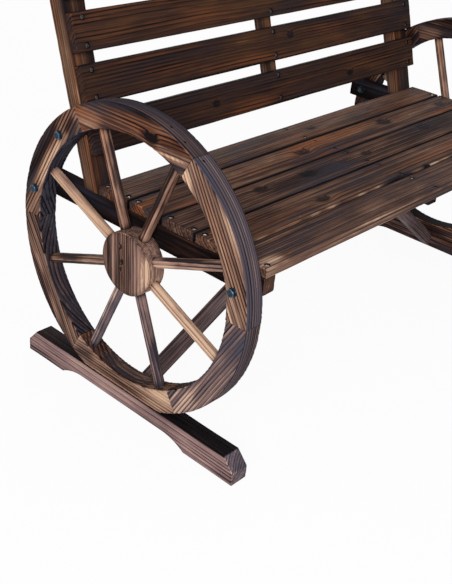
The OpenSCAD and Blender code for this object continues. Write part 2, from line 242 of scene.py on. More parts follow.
class Value:
    """One socket of a finish, so that shader maths reads as a Python expression."""

    def __init__(self, finish, socket):
        self.finish = finish
        self.socket = socket

    __add__, __radd__ = arithmetic("ADD"), arithmetic("ADD", True)
    __sub__, __rsub__ = arithmetic("SUBTRACT"), arithmetic("SUBTRACT", True)
    __mul__, __rmul__ = arithmetic("MULTIPLY"), arithmetic("MULTIPLY", True)
    __truediv__, __rtruediv__ = arithmetic("DIVIDE"), arithmetic("DIVIDE", True)
    __pow__ = arithmetic("POWER")


class Finish:
    """A material or world whose nodes are written as expressions."""

    def __init__(self, owner):
        self.owner = owner
        owner.use_nodes = True
        self.tree = owner.node_tree
        self.tree.nodes.clear()

    def node(self, kind, sockets=None, out=0, **settings):
        """Adds a shader node, sets it, then fills its sockets with numbers or links."""
        made = self.tree.nodes.new(f"ShaderNode{kind}")
        for key, value in settings.items():
            setattr(made, key, value)
        for key, value in (sockets or {}).items():
            if isinstance(value, Value):
                self.tree.links.new(value.socket, made.inputs[key])
            else:
                made.inputs[key].default_value = value
        return Value(self, made.outputs[out]) if made.outputs else None

    def also(self, value, out):
        """Another output of the node that a value comes from."""
        return Value(self, value.socket.node.outputs[out])

    def ramp(self, value, *stops):
        """A ramp through stops of a position and a share or colour."""
        made = self.node("ValToRGB", {0: value})
        elements = made.socket.node.color_ramp.elements
        while len(elements) < len(stops):
            elements.new(0.5)
        for element, (position, shade) in zip(elements, stops):
            element.position = position
            element.color = (*(shade if hasattr(shade, "__len__") else (shade,) * 3), 1)
        return made

    def maths(self, operation, *values):
        return self.node("Math", dict(enumerate(values)), operation=operation)

    def reach(self, *parts):
        """Length of the vector with these parts."""
        return self.maths("SQRT", sum(part * part for part in parts))

    def attribute(self, name, out="Fac"):
        return self.node("Attribute", out=out, attribute_name=name)

    def split(self, vector):
        x = self.node("SeparateXYZ", {0: vector})
        return x, self.also(x, "Y"), self.also(x, "Z")

    def noise(self, place, scale, detail=2.0, roughness=0.5, out="Fac", shift=None):
        """Noise at a place given by its three parts, each with its own scale."""
        x, y, z = (part * size for part, size in zip(place, scale))
        vector = self.node("CombineXYZ", {0: x + shift if shift else x, 1: y, 2: z})
        sockets = {"Vector": vector, "Scale": 1.0, "Detail": detail, "Roughness": roughness}
        return self.node("TexNoise", sockets, out)

    def step(self, value, low, high):
        """Rises smoothly from 0 at low to 1 at high."""
        sockets = {"Value": value, "From Min": low, "From Max": high}
        return self.node("MapRange", sockets, interpolation_type="SMOOTHSTEP")

    def clamp(self, value):
        return self.node("Clamp", {0: value})

    def mix(self, factor, first, second, blend="MIX"):
        """Mixes colours."""
        first, second = (c if isinstance(c, Value) else (*c, 1) for c in (first, second))
        sockets = {"Factor": factor, 6: first, 7: second}
        return self.node("Mix", sockets, 2, data_type="RGBA", blend_type=blend)

    def bump(self, height, distance, strength):
        return self.node("Bump", {"Height": height, "Distance": distance, "Strength": strength})

    def surface(self, **sockets):
        """The finished shader, with plain numbers set on its own sockets."""
        named = {key.replace("_", " "): value for key, value in sockets.items()}
        self.node("OutputMaterial", {"Surface": self.node("BsdfPrincipled", named)})


def scorched_wood(name, wood, burn, lines=0.5, clouds=0.8, streaks=0.6, worn=1.0, cool_char_and_painted_sheen=0.5, wander=6,
                  patch=1.0, fine=1.0, scuffs=0.0, bare=0.04, sheen=0.05):
    """Scorched, brushed softwood, with a partly painted blue grey sheen. The mesh brings the grain's frame,
    the wear, and the char with painted shade.
    """
    sizes = bpy.context.scene.bench_sizes
    colours = bpy.context.scene.bench_colours
    f = Finish(bpy.data.materials.new(name))
    own = f.split(f.attribute("grain", "Vector"))
    own_burn, own_warm, own_lines = f.split(f.attribute("tone", "Vector"))
    wear = f.attribute("wear")
    # Scorch, together with the painted shade of holes, notches and joints
    char = f.attribute("char")
    knot_far = f.reach(*f.split(f.attribute("knot", "Vector")))

    # Growth rings round a pith that runs along the grain, drawn aside by knots; wander is in millimetres
    bend_x, bend_y, bend_z = f.split(f.noise(own, (2.2, 9, 9), out="Color"))
    ring_y = own[1] + (bend_y - 0.5) * (2 * wander * MM)
    ring_z = own[2] + (bend_z - 0.5) * (2 * wander * MM)
    pull = 1 / (1 + knot_far * knot_far * 0.3) ** 2
    rings = f.reach(ring_y, ring_z) / (sizes.ring_pitch * fine) + (bend_x - 0.5) + pull * 3.0
    ring_tone = f.node("TexWhiteNoise", {"W": f.maths("FLOOR", rings)}, noise_dimensions="1D")
    late = f.ramp(f.maths("FRACT", rings),
                  (0, 0.9), (0.06, 0.25), (0.16, 0), (0.5, 0.12), (0.74, 0.55), (0.9, 1))

    # Fibres, streaks and clouds of scorching, all drawn out along the grain
    fibre = f.noise(own, (14, 700, 700), 3.0, 0.7)
    streak = f.noise(own, (3.5, 220, 220), 3.0, 0.72)
    cloud = f.noise(own, (5 * patch, 16 * patch, 16 * patch), 3.0, 0.6)
    drift = f.noise(own, (3.5, 30, 30), shift=40)
    scuff = f.noise(own, (55, 420, 420), shift=9)
    knot_way = knot_far * (0.45 + streak * 0.6 + cloud * 0.5)
    knot_core = 1 - f.step(knot_way, 0.6, 1.1)
    knot_ring = f.step(knot_way, 0.65, 1.0) * (1 - f.step(knot_way, 1.0, 2.2))

    # One scale from bare straw (0) over wood and late wood to char (1)
    shown = 0.5 + f.step(drift, 0.38, 0.6) * 0.8
    body = (ring_tone - 0.5) * (0.3 * lines) + (cloud - 0.5) * clouds + (streak - 0.5) * streaks
    body = f.maths("MAXIMUM", body + own_burn + burn, bare)
    body = body + char * (0.5 + streak) + (1 - f.step(wear, 0.0, 9 * MM)) * 0.1
    rub = (1 - f.step(wear, 0.0, sizes.worn_width)) * f.step(drift + streak * 0.5, 0.7, 1.0)
    body = body - rub * (worn * 0.6) - f.step(scuff, 0.66, 0.76) * (0.3 * scuffs)
    body = f.maths("MAXIMUM", body, 0.04)
    shade = body + late * (0.4 + ring_tone * 0.6) * own_lines * shown * lines + (fibre - 0.5) * 0.45
    shade = shade + knot_core * (0.08 + streak * 0.5) + knot_ring * 0.3
    base = f.ramp(shade, (0, colours.straw), (0.3, wood), (0.62, colours.ring), (0.95, colours.char))

    # Orange where lightly scorched, plum on cold pieces, blue grey where deeply scorched. The blue grey is
    # also a painted sheen: on dark char and, strongest, on cold faces such as the treads.
    orange = f.step(drift, 0.42, 0.7) * f.clamp(own_warm) * (1 - f.step(shade, 0.35, 0.95))
    base = f.mix(f.clamp(orange * 0.75), base, colours.warm)
    plum = f.clamp(0 - own_warm)
    base = f.mix(plum * 0.55, base, [c / max(colours.cool_char_and_painted_sheen) for c in colours.cool_char_and_painted_sheen], "MULTIPLY")
    blue_char_and_painted_sheen = f.step(cloud + (0.5 - drift) * 0.7, 0.45, 0.75) * f.step(shade, 0.45, 0.75)
    blue_char_and_painted_sheen = blue_char_and_painted_sheen * (1 - f.step(shade, 0.95, 1.25))
    cold_face_and_painted_sheen = f.step(plum, 0.3, 1.0) * f.step(shade, 0.05, 0.3) * (1 - f.step(shade, 0.8, 1.1))
    cold_tint_and_painted_sheen = f.mix(1.0, colours.cool_char_and_painted_sheen, 0.2 + streak * 0.8 + (1 - late) * 0.55, "MULTIPLY")
    base = f.mix(f.clamp(blue_char_and_painted_sheen * cool_char_and_painted_sheen + cold_face_and_painted_sheen * 0.8), base, cold_tint_and_painted_sheen)

    height = late * 0.5 + fibre * 0.4 + streak * 0.4 - knot_ring * 0.4
    rough = f.clamp(0.4 + fibre * 0.25 + streak * 0.15)
    normal = f.bump(height, sizes.groove, 0.8)
    f.surface(Base_Color=base, Roughness=rough, Normal=normal, Specular_IOR_Level=sheen)


def steel(name, tint, metal, rough, grime):
    """Metal with a painted glint on the points that the mesh marks, and darker, duller patches."""
    f = Finish(bpy.data.materials.new(name))
    place = f.split(f.node("TexCoord", out="Object"))
    patch = f.noise(place, (240, 240, 240), 3.0, 0.6)
    fine = f.noise(place, (1500, 1500, 1500), 2.0, 0.6)
    dull = f.step(patch, 0.45, 0.7)
    base = f.mix(dull, tint, [c * grime for c in tint])
    # Painted glint: the marked points are four times brighter
    base = f.mix(f.attribute("painted_glint"), base, (4.0, 4.0, 4.0), "MULTIPLY")
    base = f.mix(0.5, base, 0.7 + fine * 0.6, "MULTIPLY")
    normal = f.bump(patch * 0.6 + fine * 0.4, 0.1 * MM, 0.35)
    f.surface(Base_Color=base, Roughness=rough + dull * 0.25 + fine * 0.1, Normal=normal, Metallic=metal)


# ---- mesh building ----


def spread(half, step, round_r, extra):
    """Lattice lines from -half to half: close at the rounded edges, then even, with extra lines."""
    firm = [-half, -half + round_r, half - round_r, half, *extra]
    if half > 8 * MM:
        firm += [-half + 5 * MM, half - 5 * MM]
    firm = sorted(set(round(float(x), 6) for x in firm if -half <= x <= half))
    lines = []
    for a, b in zip(firm, firm[1:]):
        parts = max(1, round((b - a) / step))
        lines += [a + (b - a) * i / parts for i in range(parts)]
    return np.array(lines + [firm[-1]])


def shell(lines):
    """Vertices and quads of the outside of a lattice, and the axis that each quad faces."""
    grid = np.stack(np.meshgrid(*lines, indexing="ij"), -1)
    index = np.arange(grid[..., 0].size).reshape(grid.shape[:3])
    quads, facing = [], []
    for axis in range(3):
        for end in (0, -1):
            sheet = np.take(index, end, axis)
            ring = [sheet[:-1, :-1], sheet[1:, :-1], sheet[1:, 1:], sheet[:-1, 1:]]
            if (end == 0) == (axis != 1):
                ring.reverse()
            quads.append(np.stack([r.ravel() for r in ring], 1))
            facing += [axis] * len(quads[-1])
    used, quads = np.unique(np.concatenate(quads), return_inverse=True)
    return grid.reshape(-1, 3)[used], quads.reshape(-1, 4), np.array(facing)


def outward(points, quads):
    """The quads turned so that their normals point out of the closed mesh."""
    a, b, c, d = (points[quads[:, i]] for i in range(4))
    volume = (a * (np.cross(b, c) + np.cross(c, d))).sum()
    return quads if volume > 0 else quads[:, ::-1]


def waves(points, seed, size, count=6):
    """Smooth hollows between 0 and 1, drawn out along the first axis."""
    random = np.random.default_rng(seed)
    total = np.zeros(len(points))
    for _ in range(count):
        way = random.normal(size=3) / np.array(size)
        total += np.sin(points @ way * 2 * math.pi + random.uniform(0, 2 * math.pi))
    return 0.5 + 0.5 * np.clip(total / count * 1.6, -1, 1)


def linked(name, data):
    """A new object in the scene."""
    made = bpy.data.objects.new(name, data)
    bpy.context.scene.collection.objects.link(made)
    return made


def add_piece(node, look, points, faces, attributes, sharp=40):
    """Puts a mesh on the bench in place of its CAD node, named after it and the material's last word."""
    if look not in bpy.data.materials:
        raise RuntimeError(f"make the finishes first: {look} is missing")
    name = f"{node}_{look.split('_')[-1]}"
    mesh = bpy.data.meshes.new(name)
    mesh.from_pydata(points.tolist(), [], faces)
    for key, values in attributes.items():
        values = np.asarray(values, np.float32)
        kind, field = ("FLOAT", "value") if values.ndim == 1 else ("FLOAT_VECTOR", "vector")
        made = mesh.attributes.new(key, kind, "POINT" if len(values) == len(points) else "CORNER")
        made.data.foreach_set(field, values.ravel())
    mesh.shade_smooth()
    mesh.set_sharp_from_angle(angle=math.radians(sharp))
    mesh.materials.append(bpy.data.materials[look])
    piece = linked(name, mesh)
    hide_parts(node)
    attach(piece, "root")


class Grain:
    """Frame of one piece's grain: where its board lay in the tree, with its pith, knots and marks."""

    def __init__(self, along, across, seed, pith, tone, knots=(), marks=()):
        first = np.array(along, float) / np.linalg.norm(along)
        second = np.array(across, float)
        second -= first * (first @ second)
        second /= np.linalg.norm(second)
        self.axes = np.stack([first, second, np.cross(first, second)], 1)
        random = np.random.default_rng(seed)
        aside, below = np.array(pith) * MM
        self.shift = np.array([random.uniform(-5, 5), aside + random.uniform(-0.01, 0.01), below])
        self.seed = seed
        self.tone = tone
        self.knots = knots
        self.marks = marks

    def own(self, world):
        """Places along, across and through the board, from its middle."""
        local = world @ self.axes
        return local - (local.min(0) + local.max(0)) / 2

    def burn(self, own):
        """Scorch (above zero) and wear (below zero) of the marks."""
        total = np.zeros(len(own))
        for *sizes, amount in self.marks:
            u, v, reach, wide = np.array(sizes) * MM
            far = ((own[:, 0] - u) / reach) ** 4 + ((own[:, 1] - v) / wide) ** 2
            total += amount * np.exp(-far)
        return total

    def attributes(self, own):
        """The mesh attributes that the wood reads: place in the tree, nearest knot, tone."""
        knot = np.full((len(own), 3), 50.0)
        for u, v, size in np.array(self.knots) * MM:
            away = (own - [u, v, 0]) / [size * 1.6, size, 0.1]
            near = np.linalg.norm(away, axis=1) < 5
            knot[near] = away[near]
        return {"grain": own + self.shift, "knot": knot, "tone": np.tile(self.tone, (len(own), 1))}


def soften(points, half, radius):
    """Rounds the edges of a box; the radius may differ along each axis."""
    core = half - radius
    base = np.clip(points, -core, core)
    out = (points - base) / radius
    size = np.linalg.norm(out, axis=1, keepdims=True)
    normal = out / np.maximum(size, 1e-9)
    return base + normal * radius, normal


def sink_holes(points, flat, holes):
    """Turns lattice squares round each hole into circles, presses it in and gives the way to its rim."""
    rim_gap = np.full(len(points), 1.0)
    for x, y in holes:
        dx, dy = points[:, 0] - x, points[:, 1] - y
        square = np.maximum(np.abs(dx), np.abs(dy))
        near = flat & (square < HOLE_REACH + 0.1 * MM) & (square > 1e-7)
        blend = np.clip((HOLE_REACH - square) / (HOLE_REACH - HOLE_RIM), 0, 1)
        scale = 1 + (square / np.maximum(np.hypot(dx, dy), 1e-9) - 1) * blend
        points[near, 0] = (x + dx * scale)[near]
        points[near, 1] = (y + dy * scale)[near]
        points[flat & (square < HOLE_RIM - 0.1 * MM), 2] -= SCREW_SUNK + SCREW_HEAD_H
        rim_gap[flat] = np.minimum(rim_gap[flat], (square - HOLE_RIM)[flat])
    return rim_gap


def timber(node, wood, size, place, grain, char=None, steps=(14, 5, 5), radius=None, cuts=(),
           holes=(), seed=None, rubbed_and_glint=(0, 1, 2), chipped=0, wrapped=False, toned=None, bites=(), pins=()):
    """A board with worn edges and shallow hollows, mapped by place() from its own box to the bench.

    steps, chipped, bites and pins are in millimetres; cuts are extra lattice lines along the board.
    char() gives the scorch from the points, half the sizes, and which points lie on low and high faces.
    Screw and nail holes get painted shade.
    """
    sizes = bpy.context.scene.bench_sizes
    seed = grain.seed if seed is None else seed
    half = np.array(size) / 2
    radius = np.full(3, sizes.edge_round) if radius is None else np.array(radius)
    bites, pins = np.array(bites) * MM, np.array(pins) * MM
    extra = [list(cuts), [], []]
    for x, y in holes:
        extra[0] += list(x + HOLE_LINES)
        extra[1] += list(y + HOLE_LINES)
    for way, reach, _ in bites:
        extra[0] += list(way + reach * BITE_LINES)
    for way, aside in pins:
        extra[0] += list(way + PIN_LINES)
        extra[2] += list(aside + PIN_LINES)
    points, quads, facing = shell([spread(half[i], steps[i] * MM, radius[i], extra[i]) for i in range(3)])

    # wear is the distance to the nearest edge between the rubbed axes
    wear = np.sort((half - np.abs(points))[:, list(rubbed_and_glint)], 1)[:, 1]
    on_low, on_high = points < TINY - half, points > half - TINY
    flat = on_high[:, 2]
    burn = char(points, half, on_low, on_high) if char else np.zeros(len(points))
    points, normal = soften(points, half, radius)
    dent = waves(points, seed, (0.16, 0.02, 0.02)) * np.clip(1 - wear / DENT_REACH, 0.35, 1) * sizes.hollow
    if chipped:
        edge = np.clip(1 - wear / CHIP_REACH, 0, 1) * np.where(points[:, 1] < 0, 1, 0.7)
        dent += edge * waves(points, seed + 50, (0.012, 0.03, 0.02), 9) ** 3 * (chipped * MM)
    points = points - normal * dent[:, None]
    for way, reach, depth in bites:
        share = np.exp(-(((points[:, 0] - way) / reach) ** 4))
        points[:, 1] += depth * share * np.clip(1 - (points[:, 1] + half[1]) / BITE_REACH, 0, 1)
    for way, aside in pins:
        hit = np.hypot(points[:, 0] - way, points[:, 2] - aside) < PIN_R
        hit &= points[:, 1] > half[1] - PIN_DEEP
        points[hit, 1] -= PIN_R
        # Painted shade: the wood inside a nail hole is darkened
        burn[hit] += 1.5
    if holes:
        gap = sink_holes(points, flat, holes)
        wear = np.where(flat, np.minimum(wear, np.abs(gap) + 1 * MM), wear)
        # Painted shade: the wood inside a screw hole is darkened fully
        burn = np.where(flat & (gap < 0), 1.0, burn)

    world = place(points)
    quads = outward(world, quads)
    own = grain.own(world)
    on_face = np.abs(points[:, 2]) > half[2] - MARK_DEEP
    made = {"wear": wear, "char": burn + grain.burn(own) * on_face, **grain.attributes(own)}
    centres = points[quads].mean(1)
    if wrapped:
        # The grain of the tread follows the bend of the rim
        bent = points * [1, 1, -2] + grain.shift
        tread = (facing == 1) & (centres[:, 1] > 0)
        made["grain"] = np.where(tread[:, None, None], bent[quads], made["grain"][quads]).reshape(-1, 3)
    if toned:
        tone = made["tone"][quads]
        for faces, more, warm in toned(facing, centres):
            tone[faces, :, 0] += more
            tone[faces, :, 1] = warm
        made["tone"] = tone.reshape(-1, 3)
    add_piece(node, wood, world, quads.tolist(), made)


def turned(rings, segments, hollow=False):
    """A mesh lathed round Z, closed at its ends or by an inner wall if hollow.

    rings are (height, radius) from the bottom up, or with a hexagon's share and its corners' dip added.
    """
    turn = np.linspace(0, 2 * math.pi, segments, endpoint=False)
    hexagon = 1 / np.cos((turn + math.pi / 6) % (math.pi / 3) - math.pi / 6)
    points = []
    for height, radius, *hexed in rings:
        share, dip = hexed or (0, 0)
        reach = radius * (1 + (hexagon - 1) * share)
        drop = dip * (reach - radius)
        points.append(np.stack([reach * np.cos(turn), reach * np.sin(turn), height - drop], 1))

    def wall(a, b):
        return [(a + j, a + (j + 1) % segments, b + (j + 1) % segments, b + j) for j in range(segments)]

    last = (len(rings) - 1) * segments
    faces = [face for low in range(0, last, segments) for face in wall(low, low + segments)]
    if hollow:
        return np.concatenate(points), faces + wall(last, 0)
    points.append([[0, 0, rings[0][0]], [0, 0, rings[-1][0]]])
    end = last + segments
    faces += [(end, b, a) for a, b, _, _ in wall(0, 0)] + [(end + 1, a, b) for a, b, _, _ in wall(last, 0)]
    return np.concatenate(points), faces


def turn_to(points, start, axis, side):
    """Points lathed round Z, moved to start, with their Z along axis and their X along side."""
    return np.array(start) + points @ np.array([side, np.cross(axis, side), axis])


def rod(node, wood, start, axis, rings, grain, char, wear=None, segments=24):
    """A turned piece of wood from start along axis. rings are (distance along, radius) pairs."""
    side = np.cross(axis, [0.31, 0.17, 0.93])
    points, faces = turned(rings, segments)
    points = turn_to(points, start, axis, side / np.linalg.norm(side))
    made = {"wear": wear(points) if wear else np.full(len(points), 20 * MM), "char": char(points)}
    made.update(grain.attributes(grain.own(points)))
    add_piece(node, wood, points, faces, made, sharp=50)


# ---- the piece ----


class Maker(bpy.types.Operator):
    """Shared options of the operators that make the bench."""

    bl_options = {"REGISTER", "UNDO"}


class BENCH_OT_finishes(Maker):
    """Makes the wood and steel finishes"""

    bl_idname = "bench.finishes"
    bl_label = "Finishes"

    def execute(self, context):
        c = context.scene.bench_colours
        scorched_wood("rim_wood", c.rim, 0.37, lines=0.6, clouds=0.65, streaks=0.8, wander=3, sheen=0.02)
        scorched_wood("spoke_wood", c.spoke, 0.3, lines=0.45, clouds=1.2, streaks=0.8, worn=0.0, cool_char_and_painted_sheen=0.3,
                      patch=1.8)
        scorched_wood("hub_wood", c.hub, 0.36, lines=0.6, clouds=0.6, streaks=0.9, wander=2, fine=0.55)
        scorched_wood("skid_wood", c.skid, 0.36, lines=0.3, streaks=0.7, worn=0.5, wander=3, fine=0.8,
                      sheen=0.02)
        scorched_wood("seat_wood", c.seat, 0.46, lines=0.35, streaks=0.95, cool_char_and_painted_sheen=0.4, scuffs=0.5, bare=0.26)
        scorched_wood("back_wood", c.back, 0.56, lines=0.3, streaks=0.8, worn=0.4, cool_char_and_painted_sheen=0.1, scuffs=0.4,
                      bare=0.3, sheen=0.03)
        scorched_wood("post_wood", c.post, 0.42, lines=0.4, clouds=0.9, cool_char_and_painted_sheen=0.1)
        scorched_wood("rail_wood", c.rail, 0.66, lines=0.4, worn=0.4, cool_char_and_painted_sheen=0.3, sheen=0.0)
        scorched_wood("brace_wood", c.brace, 0.35, lines=0.3, worn=0.6)
        steel("blued_steel", c.bolt, 0.7, 0.38, 0.35)
        # The screws' zinc is darkened as painted shade of their holes
        steel("zinc_steel", c.screw, 0.9, 0.3, 0.3)
        # The nuts take the bolts' steel darkened to paint the shade they sit in
        steel("black_steel", [v * 0.4 for v in c.bolt], 0.7, 0.45, 0.35)
        plain = Finish(bpy.data.materials.new("dowel_wood"))
        fibre = plain.noise(plain.split(plain.node("TexCoord", out="Object")), (900, 60, 60), 3.0, 0.6)
        base = plain.mix(fibre, c.dowel, [v * 0.6 for v in c.dowel])
        plain.surface(Base_Color=base, Roughness=0.6 + fibre * 0.2)
        return {"FINISHED"}


def between(p, tall, bottom, top):
    """Where a board's points lie once its second side runs from bottom to top."""
    return bottom + (p[:, 1] / tall + 0.5) * (top - bottom)


def make_felloe(side, k):
    sizes = bpy.context.scene.bench_sizes
    turn = (k - 0.5) * FELLOE_ARC
    right = side == "right"
    burn, warm, lines, tread_burn, tread_warm, inner_burn, inner_warm = FELLOE_TONES[k - 1]
    # Every second felloe stands back a little at the joints
    proud = 1.0 if k % 2 else 1 - 1.2 * MM / RIM_T

    def place(p):
        angle = turn + p[:, 0] / RIM_MID_R
        # The bottom of the rim is cut flat where it stands on the skid
        outer = np.full(len(p), WHEEL_R)
        down = np.sin(angle) < -0.5
        outer[down] = np.minimum(WHEEL_R, (FLAT_Z - WHEEL.z) / np.sin(angle[down]))
        radius = between(p, RIM_BAND, RIM_IN_R, outer)
        return np.stack([SIDES[side] * WHEEL_X + p[:, 2] * proud, WHEEL.y + radius * np.cos(angle),
                         WHEEL.z + radius * np.sin(angle)], 1)

    def char(p, half, on_low, on_high):
        within = np.abs(p[:, 2]) < half[2] - sizes.edge_round + TINY
        return within * (tread_burn * on_high[:, 1] + (inner_burn + 0.5 * right) * on_low[:, 1])

    def toned(facing, centres):
        around, outer = facing == 1, centres[:, 1] > 0
        return [(around & outer, 0, tread_warm), (around & ~outer, 0, inner_warm)]

    grain = Grain(
        (0, -math.sin(turn), math.cos(turn)), (0, math.cos(turn), math.sin(turn)), 100 + k + 10 * right,
        (110, -80), (burn + 0.16, 0.6, lines) if right else (burn, warm, lines),
        FELLOE_KNOTS.get(k, ()), FELLOE_MARKS[k - 1],
    )
    timber(
        f"{side}_felloe_{k}", "rim_wood", (FELLOE_ARC * RIM_MID_R, RIM_BAND, RIM_T), place, grain,
        char=char, steps=(3, 4, 5), radius=(sizes.joint_round, sizes.edge_round, sizes.edge_round),
        seed=k, rubbed_and_glint=(1, 2), chipped=CHIPS[k - 1], wrapped=True, toned=toned, pins=PINS.get(k, ()),
    )


class BENCH_OT_rims(Maker):
    """Makes the six felloes of each rim"""

    bl_idname = "bench.rims"
    bl_label = "Rims"

    def execute(self, context):
        for side in SIDES:
            for k in range(1, FELLOES + 1):
                make_felloe(side, k)
        return {"FINISHED"}


def make_spoke(side, n):
    turn = SPOKE_TURN + n * 2 * math.pi / SPOKES
    way = np.array([0, math.cos(turn), math.sin(turn)])
    start = np.array([SIDES[side] * WHEEL_X, WHEEL.y, WHEEL.z])
    random = np.random.default_rng(40 + n)
    at = np.linspace(HUB_R - SOCKET, RIM_IN_R + SOCKET, 34)
    bumps = np.convolve(random.uniform(0.95, 0.995, len(at)), [0.25, 0.5, 0.25], "same")
    bumps[0] = bumps[-1] = bumps[1]
    rings = list(zip(at, extent("left_spoke_1").x / 2 * bumps))
    tone = (SPOKE_BURN[n] - 0.12 * (side == "right"), SPOKE_WARM[n], random.uniform(0.6, 1.3))

    # Darker scorch and painted shade where the spoke enters the hub and the rim
    def char(p):
        far = np.linalg.norm(p - start, axis=1)
        gap = np.minimum(np.abs(far - HUB_R), np.abs(far - RIM_IN_R))
        return 0.35 * np.clip(1 - gap / (8 * MM), 0, 1)

    rod(f"{side}_spoke_{n + 1}", "spoke_wood", start, way, rings,
        Grain(way, ALONG, 60 + n, (4, -20), tone), char)


class BENCH_OT_spokes(Maker):
    """Makes the eight turned spokes of each wheel"""

    bl_idname = "bench.spokes"
    bl_label = "Spokes"

    def execute(self, context):
        for side in SIDES:
            for n in range(SPOKES):
                make_spoke(side, n)
        return {"FINISHED"}


def make_hub(side):
    half, soft = extent("left_hub").x / 2, 2.5 * MM
    face = [(half, i / 14 * HUB_R) for i in range(1, 14)]
    face += [(half - soft + soft * math.cos(a), HUB_R - soft + soft * math.sin(a))
             for a in map(math.radians, (0, 30, 60, 90))]
    wall = [(d, HUB_R) for d in np.linspace(-half + 2 * soft, half - 2 * soft, 6)]
    rings = [(-d, r) for d, r in face] + wall + face[::-1]
    centre = np.array([SIDES[side] * WHEEL_X, WHEEL.y, WHEEL.z])
    grain = Grain((0, 0.06, 1), BACKWARD, 21, (50, -80), (-0.02, 0.1, 1.0), HUB_KNOTS, HUB_MARKS)

    def around(p):
        """Distances from the hub's axis and from its middle plane."""
        return np.hypot(*(p - centre)[:, 1:].T), np.abs((p - centre)[:, 0])

    def char(p):
        far, aside = around(p)
        rim_side = (far > HUB_R - 0.5 * MM) & (aside < half - soft)
        high = np.clip((p[:, 2] - centre[2]) / HUB_R + 0.3, 0, 1)
        return grain.burn(grain.own(p)) * ~rim_side + (0.1 * high - 0.14) * rim_side

    def wear(p):
        far, aside = around(p)
        return np.abs(HUB_R - far) + np.abs(half - aside)

    rod(f"{side}_hub", "hub_wood", centre, ALONG, rings, grain, char, wear, segments=72)


class BENCH_OT_hubs(Maker):
    """Makes the two hubs"""

    bl_idname = "bench.hubs"
    bl_label = "Hubs"

    def execute(self, context):
        for side in SIDES:
            make_hub(side)
        return {"FINISHED"}


def make_skid(side):
    low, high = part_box("left_skid")
    long, tall, mid = high.y - low.y, high.z, (low.y + high.y) / 2
    cut_l, cut_h = 23 * MM, 26 * MM
    arch_h, arch_half, arch_run = 16.5 * MM, 163 * MM, 56 * MM
    arch_r = (arch_run**2 + arch_h**2) / (2 * arch_h)

    def place(p):
        y, way = mid + p[:, 0], np.abs(p[:, 0])
        top = tall - cut_h * np.clip((way - (long / 2 - cut_l)) / cut_l, 0, 1)
        off = np.abs(y - WHEEL.y) - (arch_half - arch_run)
        drop = arch_r - np.sqrt(np.maximum(arch_r**2 - np.clip(off, 0, arch_run) ** 2, 0))
        bottom = np.clip(arch_h - drop, 0, arch_h)
        return np.stack([SIDES[side] * WHEEL_X + p[:, 2], y, between(p, tall, bottom, top)], 1)

    def char(p, half, on_low, on_high):
        ends = (on_low | on_high)[:, 0]
        top = on_high[:, 1] & (np.abs(p[:, 0]) < long / 2 - cut_l + TINY)
        return (0.7 - 0.28 * np.clip((p[:, 0] - 0.12) / 0.08, 0, 1)) * top + 0.08 * ends

    def toned(facing, centres):
        # The sawn ends are colder and barely scorched
        slope = (facing == 1) & (centres[:, 1] > 0) & (np.abs(centres[:, 0]) > long / 2 - cut_l)
        return [(slope, -0.06, -0.8), (facing == 0, -0.2, -0.8)]

    cuts = [WHEEL.y - mid + s * (arch_half - arch_run * t) for s in (-1, 1) for t in np.linspace(0, 1, 9)]
    cuts += [s * (long / 2 - cut_l + t * MM) for s in (-1, 1) for t in (0, 1.5)]
    tone = (-0.05, -0.4, 1.0) if side == "left" else (0.24, 1.0, 0.8)
    timber(f"{side}_skid", "skid_wood", (long, tall, RIM_T), place,
           Grain(BACKWARD, UP, 31, (60, -40), tone), char=char, toned=toned, steps=(10, 5, 5), cuts=cuts)


class BENCH_OT_skids(Maker):
    """Makes the two skids with their arches and sloped ends"""

    bl_idname = "bench.skids"
    bl_label = "Skids"

    def execute(self, context):
        for side in SIDES:
            make_skid(side)
        return {"FINISHED"}


def slat_holes(long, wide, support):
    """Places of a slat's six screws in its own frame: two over each end's support, two in the middle."""
    reach = (long - extent(support).x) / 2 + SCREW_OUT
    return [(x, s * (wide / 2 - SCREW_IN)) for x in (-reach, 0.0, reach) for s in (-1, 1)]


def make_seat_slat(i):
    node = f"seat_slat_{i + 1}"
    centre, size = middle(node), extent(node)
    tone, pith, knots, marks = SEAT_LOOKS[i]

    def char(p, half, on_low, on_high):
        rear, front = 0.5 * on_high[:, 1], on_low[:, 1]
        if i > 1:
            return rear + 0.5 * front
        # The upper front edges of the first two slats are worn in places
        lip = (p[:, 1] < LIP - half[1]) & (p[:, 2] > half[2] - LIP)
        broken = waves(p * [1, 0, 0], 7 + i, (0.11, 1, 1))
        worn = 0.4 * i - (1 - i) * 0.3 * np.clip(-p[:, 0] / half[0], 0, 1)
        return rear + worn * (front & ~lip) - (0.3 + 0.25 * i) * lip * np.clip(broken * 1.5, 0, 1)

    timber(
        node, "seat_wood", size, lambda p: p + np.array(centre),
        Grain(ALONG, BACKWARD, 70 + i, pith, tone, knots, marks), char=char,
        holes=slat_holes(size.x, size.y, "left_rail"), bites=BITES if i == 1 else (),
    )


class BENCH_OT_seat(Maker):
    """Makes the five seat slats"""

    bl_idname = "bench.seat"
    bl_label = "Seat slats"

    def execute(self, context):
        for i in range(SLATS):
            make_seat_slat(i)
        return {"FINISHED"}


def make_rail(side):
    low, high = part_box("left_rail")
    thick, long, tall = high - low
    centre, cut = (low + high) / 2, 13 * MM

    def place(p):
        bottom = low.z + cut * np.clip(1 - (p[:, 0] + long / 2) / cut, 0, 1)
        x_mid = SIDES[side] * abs(centre.x)
        return np.stack([x_mid + p[:, 2], centre.y + p[:, 0], between(p, tall, bottom, high.z)], 1)

    def char(p, half, on_low, on_high):
        return 0.1 - 0.15 * on_high[:, 1] - 0.45 * on_low[:, 0]

    timber(f"{side}_rail", "rail_wood", (long, tall, thick), place,
           Grain(BACKWARD, UP, 81, (20, -60), (0.12, 0.2, 0.4)), char=char, steps=(12, 5, 5),
           cuts=(cut - long / 2,))


